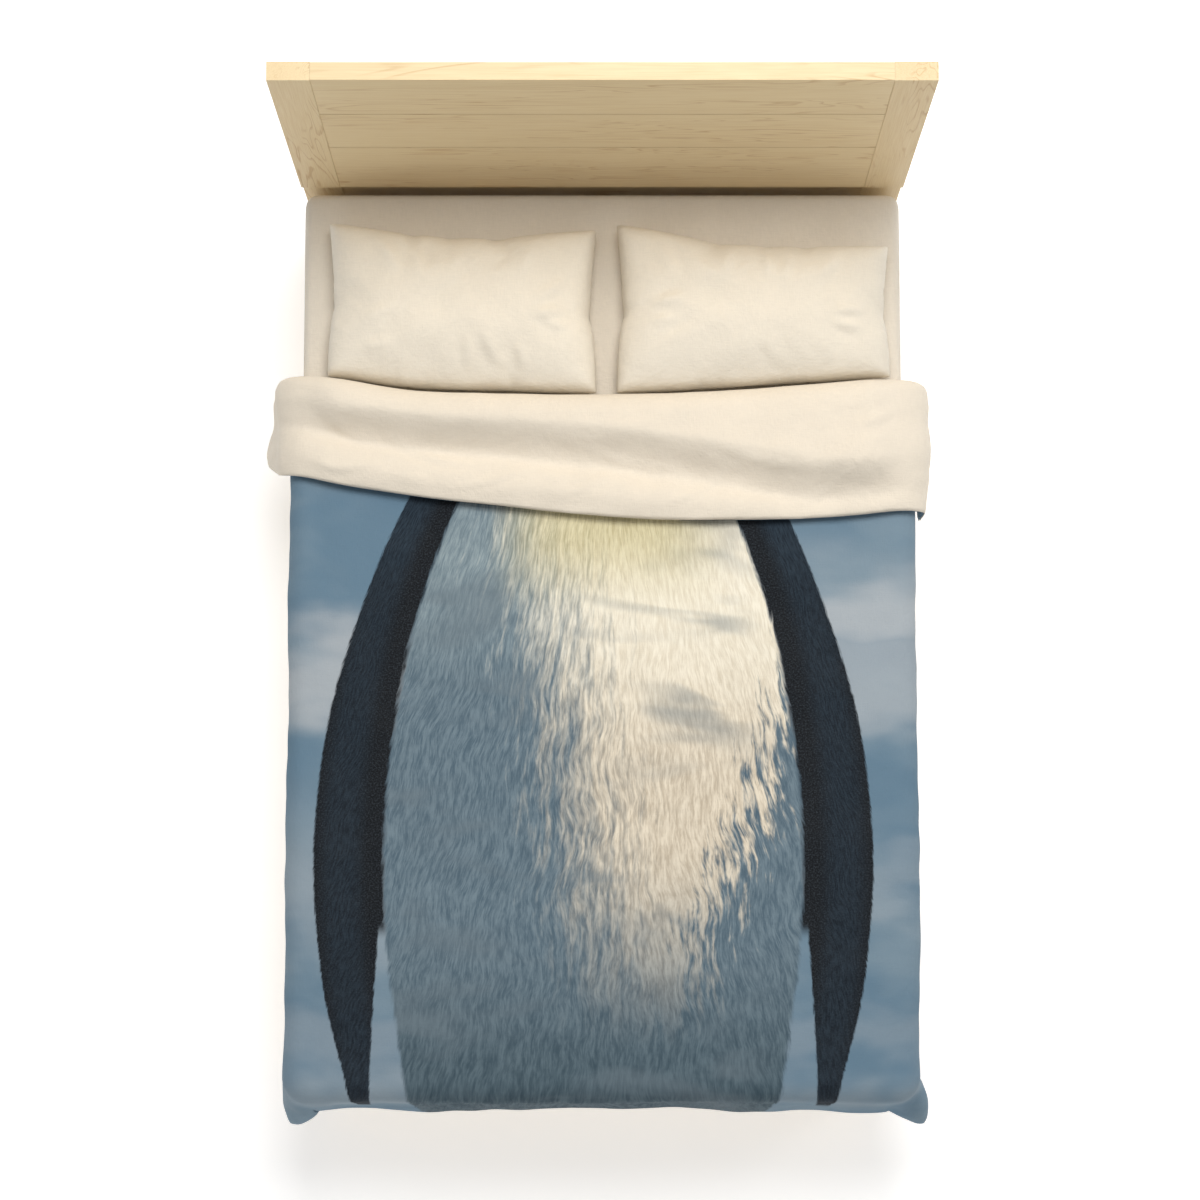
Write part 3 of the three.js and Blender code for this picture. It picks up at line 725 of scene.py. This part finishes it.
def folded_duvet():
    """The duvet's middle layer with its head end turned back over it.
    Returns points, outward normals of the face side, flat coordinates and thickness, all as grids."""
    main, flat = drape_main()
    normals = unit(smoothed(grid_normals(main), 3))
    main = main + normals * swelling(flat)[..., None]
    rows, columns = main.shape[:2]
    x = flat[-1, :, 0]
    radius = roll_radius(x)
    width = turned_width(x)
    roll, roll_normals = rolled(main, normals, radius[:, None])

    # The turned-down part lies over the main part, at a distance from its middle layer.
    share = np.linspace(0, 1, TURNED_STEPS + 1)
    turned, turned_normals = walked_back(main, normals, width, share)
    column_x = np.broadcast_to(x, (len(share), columns))
    down = share[:, None] * np.ones((1, columns))
    turned = turned + turned_normals * turned_lift(column_x, down, width)[..., None]
    turned[..., 0] += flare(column_x, down)

    points = np.concatenate([main, roll, turned])
    sides = unit(np.concatenate([normals, roll_normals, -turned_normals]))
    along_main = np.broadcast_to(np.linspace(0, COVER[1] - TURNED_LENGTH, rows)[:, None], (rows, columns))
    roll_start = along_main[-1, 0]
    roll_length = math.pi * radius
    along_roll = roll_start + np.linspace(0, 1, ROLL_STEPS)[1:-1, None] * roll_length
    along_turned = roll_start + roll_length + down * width
    along = np.concatenate([along_main, along_roll, along_turned])
    total = roll_start + roll_length + width
    flat_all = np.stack([np.broadcast_to(x, along.shape), np.empty_like(along)], axis=-1)
    flat_all[:rows] = flat
    flat_all[rows:, :, 1] = flat[-1, :, 1] + (along[rows:] - roll_start)
    thick = thickness_near_edges(flat_all[..., 0], along, total[None, :])
    return points, sides, flat_all, thick


def turned_lift(x, down, width):
    """The distance between the two middle layers: a full roll at the fold, a slope that steepens down to a
    hollow, and a soft rise from there to the hem."""
    resting = DUVET_THICKNESS + 0.003
    start, hollow = through(x, SLOPE_START), through(x, HOLLOW_LINE)
    past = np.clip((down - start) / (hollow - start), 0, 1)
    roll = (2 * roll_radius(x) - resting) * (0.5 + 0.5 * np.cos(math.pi * past**0.9))
    beyond = np.maximum(down - hollow + 0.05, 0)
    crown = 0.022 * (1 - ease(np.abs(x), 0.62, 0.74)) * (1 - np.exp(-((beyond / 0.16) ** 1.6)))
    crown = crown * (1 - 0.5 * ease(down, 0.75, 1.0))
    y = down * width
    wrinkles = 0.0018 * ripples(x, y, 0.12, 31, (2.2, 1.0)) + 0.0007 * ripples(x, y, 0.05, 32, (2.5, 1.0))
    for begin, end, wide, high in CUFF_CREASES:
        wrinkles = wrinkles + 1.8 * crease(x, y, begin, end, wide, high)
    return resting + roll + crown + np.maximum(wrinkles, -0.002) * ease(down, 0.0, 0.1)


def flare(x, down):
    """How far the turned-down part's sides swing outwards towards their hems, the left one most."""
    hanging = ease(np.abs(x), HALF_WIDTH - 0.01, COVER[0] / 2)
    amount = np.where(x < 0, 0.012 + 0.038 * down, 0.002 + 0.012 * down)
    return np.sign(x) * amount * hanging


def layer_piece(name, points, flat):
    rows, columns = points.shape[:2]
    piece = mesh_object(name, points, grid_faces(rows, columns))
    attribute = piece.data.attributes.new("flat", "FLOAT_VECTOR", "POINT")
    vectors = np.zeros((rows * columns, 3), np.float32)
    vectors[:, :2] = flat.reshape(-1, 2)
    attribute.data.foreach_set("vector", vectors.ravel())
    return piece


def make_duvet():
    points, sides, flat, thick = folded_duvet()
    half = (thick / 2)[..., None]
    face = layer_piece("duvet_cover_face_cotton", points + sides * half, flat)
    solidify(face, COVER_FABRIC)
    place_piece(face, print_look(), "duvet", "duvet_cover_face")
    back = layer_piece("duvet_cover_back_cotton", points - sides * half, flat)
    solidify(back, COVER_FABRIC, 1.0)
    cream = cotton_look("cover_cream_cotton", srgb(238, 227, 209), 0.8, 0.04)
    place_piece(back, cream, "duvet", "duvet_cover_back")
    make_duvet_filling(points, sides, thick)


def make_duvet_filling(points, sides, thick):
    """The fibre filling between the two panels of the cover, as one closed body."""
    inner = np.maximum(thick / 2 - COVER_FABRIC - FILLING_INSET, 0.0002)[::2, ::2, None]
    middle, outward = points[::2, ::2], sides[::2, ::2]
    rows, columns = middle.shape[:2]
    upper, lower = middle + outward * inner, middle - outward * inner
    faces = grid_faces(rows, columns)
    count = rows * columns
    faces += [tuple(count + i for i in reversed(face)) for face in grid_faces(rows, columns)]
    rim = grid_rim(rows, columns)
    for a, b in zip(rim, rim[1:] + rim[:1]):
        faces.append((b, a, count + a, count + b))
    points = np.concatenate([upper.reshape(-1, 3), lower.reshape(-1, 3)])
    piece = mesh_object("duvet_filling_fibre", points, faces)
    place_piece(piece, fibre_look(), "duvet", "duvet_filling")


def fibre_look():
    graph = Graph("fibre_filling")
    place = graph.place()
    fibres = graph.noise(place, 90.0, detail=5.0, roughness=0.7, distortion=2.0)
    tufts = graph.noise(place, 14.0, detail=3.0)
    color = graph.mix(graph.vary(fibres), srgb(232, 231, 226), srgb(250, 249, 246))
    normal = graph.bump(fibres, 0.002, graph.bump(tufts, 0.006))
    return graph.finish(color, graph.vary(tufts, 0.85, 0.98), normal, {"Sheen Weight": 0.3})


# ---- the print
# A plain penguin's body, alike on both sides. Its outlines are distances from its middle against flat y,
# both in metres on the mattress top, y counted from the headboard.
PRINT_LOW, PRINT_HIGH = -2.35, -0.55
BODY_MIDDLE = -0.02
WING_OUTER = [(-2.35, 0.50), (-2.15, 0.53), (-1.80, 0.61), (-1.40, 0.62), (-1.00, 0.53), (-0.55, 0.32)]
WING_INNER = [(-2.35, 0.50), (-2.10, 0.50), (-1.70, 0.48), (-0.55, 0.40)]
BELLY_EDGE = [(-2.35, 0.36), (-2.00, 0.43), (-1.60, 0.47), (-1.20, 0.44), (-0.85, 0.35), (-0.55, 0.20)]


def print_look():
    """Fine cotton printed with a penguin's body, from the throat down, against blurred snow."""
    graph = Graph("printed_cotton")
    flat = graph.node("Attribute", attribute_name="flat").outputs["Vector"]
    x, along, _ = graph.axes(flat)
    y = graph.minus(along, HEADBOARD)
    color = penguin(graph, graph.flat_vector(x, y), x, y)
    return cotton(graph, color, 0.55, 0.02, 0.0)


def penguin(graph, place, x, y):
    whole = {"Value": y, "From Min": PRINT_LOW, "From Max": PRINT_HIGH}
    share = graph.node("MapRange", whole).outputs[0]

    def outline(points):
        line = [((v - PRINT_LOW) / (PRINT_HIGH - PRINT_LOW), u) for v, u in points]
        return graph.curve(share, line)

    # Fur runs down and outwards from a point above the throat.
    aside = graph.minus(x, 0.03)
    above = graph.minus(0.35, y)
    angle = graph.math("ARCTAN2", aside, above)
    far = graph.math("SQRT", graph.plus(graph.times(aside, aside), graph.times(above, above)))
    lie = graph.noise(place, 5.0, detail=2.0)
    angle = graph.plus(angle, graph.swing(lie, 0.035))

    def strands(across, along):
        """Coordinates that follow the fur, stretched by these amounts."""
        return graph.flat_vector(graph.times(angle, across), graph.times(far, along))

    coarse = strands(190.0, 17.0)
    fur = graph.noise(coarse, 1.0, detail=3.0, roughness=0.6, distortion=0.25)
    fine_fur = graph.noise(strands(520.0, 40.0), 1.0, detail=2.0, roughness=0.6)
    clumps = graph.noise(coarse, 0.33, detail=2.0, roughness=0.5, distortion=0.5)

    frayed = graph.swing(fur, 0.022)
    edge = graph.swing(fine_fur, 0.010)
    from_middle = graph.math("ABSOLUTE", graph.minus(x, BODY_MIDDLE))

    def beyond(points, soft, fray):
        """1 outside an outline, 0 towards the body's middle."""
        offset = graph.plus(graph.minus(from_middle, outline(points)), fray)
        return graph.ramp(offset, -soft, soft)

    def inverse(value):
        return graph.minus(1.0, value)

    color = snow(graph, place, x, y)

    past_belly = beyond(BELLY_EDGE, 0.006, frayed)
    in_wing = graph.times(past_belly, inverse(beyond(WING_OUTER, 0.003, edge)))
    # Below the body's widest part, snow shows between a wing and the belly.
    behind_wing = graph.times(inverse(beyond(WING_INNER, 0.003, edge)), graph.ramp(y, -1.70, -1.74))
    in_wing = graph.times(in_wing, inverse(behind_wing))
    in_wing = graph.times(in_wing, graph.ramp(y, -2.17, -2.13))
    from_belly = graph.minus(from_middle, outline(BELLY_EDGE))
    color = graph.mix(inverse(past_belly), color, belly(graph, place, x, y, fur, fine_fur, clumps))
    return graph.mix(in_wing, color, wing(graph, place, y, from_belly, fine_fur))


# Each with its middle, width, strength and side of the bed.
SNOW_DRIFTS = [(-1.15, 0.16, 0.85, -1), (-1.6, 0.22, 0.35, -1), (-1.0, 0.20, 0.85, 1), (-2.0, 0.12, 0.3, -1)]
SNOW_DRIFTS += [(-1.15, 0.16, 0.6, 1), (-1.6, 0.08, 0.25, 1), (-2.0, 0.10, 0.25, 1)]


def snow(graph, place, x, y):
    """Blurred snow in shade: slate blue with a few lighter, pinkish drifts across it."""
    broad = graph.noise(graph.scaled(place, (1.2, 2.2, 1.0), (0.4, 0.9, 0)), 2.2, detail=3.0, roughness=0.5)
    level = graph.plus(y, graph.swing(broad, 0.5))

    def drift(middle, width, amount, side):
        off = graph.math("ABSOLUTE", graph.minus(level, middle))
        beside = graph.ramp(x, 0.2 * side, 0.3 * side)
        return graph.times(graph.ramp(off, width, width * 0.15, 0.0, amount), beside)

    drifts = 0.0
    for settings in SNOW_DRIFTS:
        drifts = graph.math("MAXIMUM", drifts, drift(*settings))
    color = graph.mix(graph.ramp(broad, 0.38, 0.64), srgb(104, 131, 150), srgb(126, 147, 161))
    return graph.mix(drifts, color, srgb(180, 186, 190))


def belly(graph, place, x, y, fur, fine_fur, clumps):
    """White plumage: cool where it is shaded, warm where low sunlight falls across it."""
    streaks = graph.plus(graph.times(fur, 0.6), graph.times(fine_fur, 0.4))
    strands = graph.ramp(streaks, 0.34, 0.66)
    high = graph.ramp(y, -1.25, -0.85)
    cool = graph.mix(strands, srgb(84, 104, 117), srgb(120, 138, 148))
    cool = graph.mix(high, cool, graph.mix(strands, srgb(112, 130, 139), srgb(152, 167, 172)))
    deep = graph.mix(strands, srgb(62, 80, 90), srgb(92, 110, 119))
    cool = graph.mix(graph.ramp(y, -1.70, -2.12), cool, deep)
    warm = graph.mix(strands, srgb(198, 184, 162), srgb(240, 228, 206))
    bright = graph.mix(strands, srgb(234, 224, 202), srgb(254, 247, 228))
    warm = graph.mix(graph.ramp(y, -1.4, -0.95), warm, bright)
    ragged = graph.times(graph.minus(graph.plus(fur, clumps), 1.0), 0.30)

    # Sunlight falls from the upper right; the plumage rounds away from it to the left and to the right.
    from_left = graph.math("MULTIPLY_ADD", y, 0.15, graph.plus(x, 0.25))
    lit = graph.ramp(graph.plus(from_left, ragged), -0.15, 0.15)
    from_right = graph.math("MULTIPLY_ADD", y, 0.35, graph.minus(0.85, x))
    lit = graph.times(lit, graph.ramp(graph.plus(from_right, ragged), -0.04, 0.06))
    lit = graph.times(lit, graph.ramp(y, -2.0, -1.5))
    color = graph.mix(lit, cool, warm)

    # Painted shade of the duvet's soft folds, in darker bands across the belly's left part.
    painted_shade_bands = graph.noise(graph.scaled(place, (1.5, 4.2, 1.0), (0.2, 0.35, 0)), 1.5, detail=2.0, distortion=0.9)
    folds = graph.times(graph.ramp(painted_shade_bands, 0.50, 0.70, 0.0, 0.55), graph.ramp(x, 0.42, 0.25))
    color = graph.mix(folds, color, srgb(112, 126, 134))

    # The throat's yellow glow.
    off = graph.minus(x, 0.02)
    near = graph.times(off, off)
    glow = graph.times(graph.ramp(near, 0.085, 0.0), graph.ramp(y, -1.02, -0.80))
    yellow = graph.mix(strands, srgb(190, 177, 128), srgb(222, 212, 168))
    return graph.mix(graph.times(glow, 0.8), color, yellow)


def wing(graph, place, y, from_belly, fine_fur):
    """Near black and finely speckled, with a bluish sheen along its middle."""
    speckle = graph.noise(place, 260.0, detail=3.0, roughness=0.75)
    dark = graph.mix(graph.ramp(speckle, 0.42, 0.72), srgb(18, 21, 25), srgb(54, 60, 66))
    sheen = graph.mix(graph.vary(fine_fur), srgb(26, 36, 46), srgb(50, 64, 76))
    blue = graph.times(graph.ramp(from_belly, 0.03, 0.08), graph.ramp(from_belly, 0.16, 0.11))
    return graph.mix(graph.times(blue, graph.ramp(y, -1.0, -0.8, 0.6, 0.9)), dark, sheen)


# ---- pillows
# Where each one starts and ends across the bed, and how far its upper corners are from the headboard.
PILLOW_SPANS = {"left": (-0.63, -0.01), "right": (0.03, 0.66)}
PILLOW_EARS = {"left": (0.095, 0.11), "right": (0.095, 0.15)}
# Folds of the pillowcases, as start, end, width and height, y counted from the headboard.
PILLOW_CREASES = {
    "left": [
        ((-0.52, -0.13), (-0.46, -0.24), 0.012, 0.005), ((-0.44, -0.15), (-0.41, -0.25), 0.010, 0.004),
        ((-0.33, -0.15), (-0.35, -0.27), 0.011, 0.003), ((-0.16, -0.14), (-0.20, -0.27), 0.012, 0.004),
        ((-0.08, -0.24), (-0.16, -0.30), 0.009, 0.005), ((-0.07, -0.31), (-0.17, -0.33), 0.009, 0.006),
        ((-0.07, -0.36), (-0.15, -0.33), 0.009, 0.004), ((-0.22, -0.46), (-0.27, -0.36), 0.010, 0.005),
        ((-0.30, -0.46), (-0.30, -0.37), 0.009, 0.004), ((-0.17, -0.46), (-0.19, -0.38), 0.009, 0.004),
        ((-0.56, -0.36), (-0.44, -0.30), 0.012, 0.004), ((-0.57, -0.42), (-0.46, -0.39), 0.011, 0.004),
    ],
    "right": [
        ((0.11, -0.14), (0.17, -0.26), 0.012, 0.004), ((0.29, -0.15), (0.27, -0.25), 0.011, 0.004),
        ((0.36, -0.16), (0.38, -0.25), 0.009, 0.006), ((0.42, -0.16), (0.41, -0.26), 0.009, 0.005),
        ((0.54, -0.16), (0.47, -0.27), 0.012, 0.004), ((0.60, -0.31), (0.52, -0.32), 0.009, 0.006),
        ((0.60, -0.36), (0.51, -0.34), 0.009, 0.005), ((0.10, -0.31), (0.20, -0.29), 0.010, 0.005),
        ((0.10, -0.35), (0.19, -0.34), 0.009, 0.004), ((0.13, -0.40), (0.24, -0.36), 0.012, 0.003),
        ((0.40, -0.45), (0.37, -0.37), 0.011, 0.003),
    ],
}

CLOTH = {"quality": 6, "mass": 0.15, "use_pressure": True, "uniform_pressure_force": 4.5}
STIFFNESS = {"tension": 30, "compression": 12, "shear": 6, "bending": 0.25}


def inflated_pillow():
    """A rectangular case, sewn flat and filled: two layers of cloth joined at the seam, under pressure.
    Returns its points, its faces and where each point was when flat, from -0.5 to 0.5."""
    columns, rows = 61, 41
    x = np.linspace(-0.5, 0.5, columns) * PILLOW_FLAT[0]
    y = np.linspace(-0.5, 0.5, rows) * PILLOW_FLAT[1]
    xs, ys = np.meshgrid(x, y)
    from_side = 0.5 - np.abs(xs) / PILLOW_FLAT[0]
    from_end = 0.5 - np.abs(ys) / PILLOW_FLAT[1]
    inside = np.minimum(1, np.minimum(from_side, from_end) * 8)
    rise = 0.010 * inside
    upper = np.stack([xs, ys, rise], axis=-1).reshape(-1, 3)
    on_seam = (inside <= 1e-9).ravel()
    faces = grid_faces(rows, columns)
    lower_index = np.arange(rows * columns)
    extra = np.flatnonzero(~on_seam)
    lower_index[extra] = rows * columns + np.arange(len(extra))
    lower = upper[extra] * [1, 1, -1]
    under = [tuple(int(lower_index[i]) for i in reversed(face)) for face in grid_faces(rows, columns)]
    points = np.concatenate([upper, lower])
    piece = mesh_object("pillow_form", points, faces + under)
    settings = piece.modifiers.new("cloth", "CLOTH").settings
    for key, value in CLOTH.items():
        setattr(settings, key, value)
    for key, value in STIFFNESS.items():
        setattr(settings, key + "_stiffness", value)
    settings.effector_weights.gravity = 0
    points = run_cloth(piece, 26)
    mesh = piece.data
    bpy.data.objects.remove(piece)
    bpy.data.meshes.remove(mesh)
    flat = np.concatenate([upper, lower])[:, :2] / PILLOW_FLAT
    return points, faces + under, flat


def laid_pillow(name, points, flat_seam):
    """An inflated form, fitted to its place against the fold and flattened from below."""
    low, high = points.min(axis=0), points.max(axis=0)
    left, right = PILLOW_SPANS[name]
    ear_left, ear_right = PILLOW_EARS[name]
    u = (points[:, 0] - low[0]) / (high[0] - low[0])
    v = (points[:, 1] - low[1]) / (high[1] - low[1])
    # Only its upper part is drawn in between its corners; the duvet holds the lower edge straight.
    square_u = (flat_seam[:, 0] + 0.5) if name == "left" else (0.5 - flat_seam[:, 0])
    square_v = flat_seam[:, 1] + 0.5
    drawn = 0.06 + 0.32 * ease(square_v, 0.0, 0.8)
    u = square_u + (u - square_u) * drawn
    v = square_v + (v - square_v) * drawn
    x = left + (right - left) * u
    head_y = HEADBOARD - (ear_left + (ear_right - ear_left) * u)
    foot_y = HEADBOARD - through(x, FOLD_LINE) + 0.003
    y = foot_y + (head_y - foot_y) * v
    # Above the seam it is full; below, the mattress flattens it.
    z = points[:, 2] / high[2]
    upper = np.maximum(z, 0) ** 0.42 * PILLOW_RISE
    lower = np.maximum(-z, 0)
    below = PILLOW_SUNK * (1 - (1 - np.clip(lower * 1.5, 0, 1)) ** 2)
    z = MATTRESS_TOP + PILLOW_SEAM + upper - below
    z = z + 0.0016 * ripples(x, y, 0.13, 41 if name == "left" else 42) * ease(upper, 0.01, 0.05)
    for start, end, wide, height in PILLOW_CREASES[name]:
        fold = crease(x, y - HEADBOARD, start, end, 1.25 * wide, 1.6 * height)
        z = z + fold * ease(upper, 0.004, 0.02)
    return np.stack([x, y, z], axis=1)


def make_pillows():
    form, faces, flat_seam = inflated_pillow()
    look = cotton_look("pillow_cotton", srgb(236, 227, 210), 0.9)
    inner_look = fibre_look()
    mirrored = form.copy()
    mirrored[:, 0] = form[:, 0].min() + form[:, 0].max() - form[:, 0]
    mirrored_faces = [tuple(reversed(face)) for face in faces]
    for name, points, side_faces in (("left", form, faces), ("right", mirrored, mirrored_faces)):
        shaped = laid_pillow(name, points, flat_seam)
        case = mesh_object(f"pillowcase_{name}_cotton", shaped, side_faces)
        subdivide(case)
        solidify(case, SHEET_FABRIC)
        body = "pillow_" + name
        place_piece(case, look, body, "pillowcase_" + name)
        middle = shaped.mean(axis=0)
        filling = mesh_object(f"pillow_filling_{name}_fibre", middle + (shaped - middle) * 0.965, side_faces)
        place_piece(filling, inner_look, body, "pillow_filling_" + name)


def subdivide(piece):
    modifier = piece.modifiers.new("smooth", "SUBSURF")
    modifier.levels = 1
    modifier.render_levels = 1


# ---- mattress, elastic and buttons
def finish_mattress():
    ticking = ticking_look()
    for name in ("mattress_cover_top", "mattress_cover_base"):
        give(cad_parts[name], ticking)
        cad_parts[name].data.shade_smooth()
    give(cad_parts["mattress_core"], foam_look())
    give(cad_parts["fitted_sheet_elastic"], elastic_look())


def foam_look():
    graph = Graph("foam")
    cells = graph.noise(graph.place(), 300.0, detail=3.0)
    color = graph.mix(cells, srgb(236, 228, 200), srgb(248, 243, 224))
    return graph.finish(color, graph.vary(cells, 0.8, 0.98), graph.bump(cells, 0.001))


def elastic_look():
    graph = Graph("elastic")
    ribs = graph.node("TexWave", {"Vector": graph.place(), "Scale": 160.0, "Distortion": 1.0}).outputs[1]
    color = graph.mix(ribs, srgb(214, 208, 196), srgb(238, 234, 224))
    return graph.finish(color, 0.85, graph.bump(ribs, 0.0006))


def ticking_look():
    """Knitted ticking, quilted in diamonds."""
    graph = Graph("ticking")
    place = graph.place()
    x, y, _ = graph.axes(place)
    pitch = 22.0
    slants = [graph.plus(x, y), graph.minus(x, y)]
    first, second = (graph.math("SINE", graph.times(slant, pitch)) for slant in slants)
    puff = graph.math("MINIMUM", graph.math("ABSOLUTE", first), graph.math("ABSOLUTE", second))
    puff = graph.math("POWER", puff, 0.5)
    knit = graph.noise(graph.scaled(place, (700, 260, 700)), 1.0, detail=2.0)
    color = graph.mix(graph.vary(knit), srgb(222, 218, 208), srgb(240, 237, 229))
    # Painted shade: darker along the quilted seams, in the hollows between the puffs.
    color = graph.mix(graph.ramp(puff, 0.25, 0.0, 0.0, 0.35), color, srgb(190, 185, 174))
    normal = graph.bump(knit, 0.0006, graph.bump(puff, 0.006))
    return graph.finish(color, graph.vary(knit, 0.8, 0.92), normal, {"Sheen Weight": 0.1})


def finish_buttons():
    graph = Graph("shell_button")
    layers = graph.noise(graph.scaled(graph.place(), (60, 60, 240)), 1.0, detail=3.0, distortion=1.5)
    color = graph.mix(layers, srgb(226, 218, 200), srgb(247, 243, 233))
    look = graph.finish(color, graph.vary(layers, 0.18, 0.34), None, {"Coat Weight": 0.4})
    for name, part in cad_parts.items():
        if name.startswith("cover_button"):
            give(part, look)
            ease_edges(part, 0.0006)


make_camera()
make_studio()
finish_bedstead()
finish_mattress()
make_fitted_sheet()
make_pillows()
make_duvet()
finish_buttons()
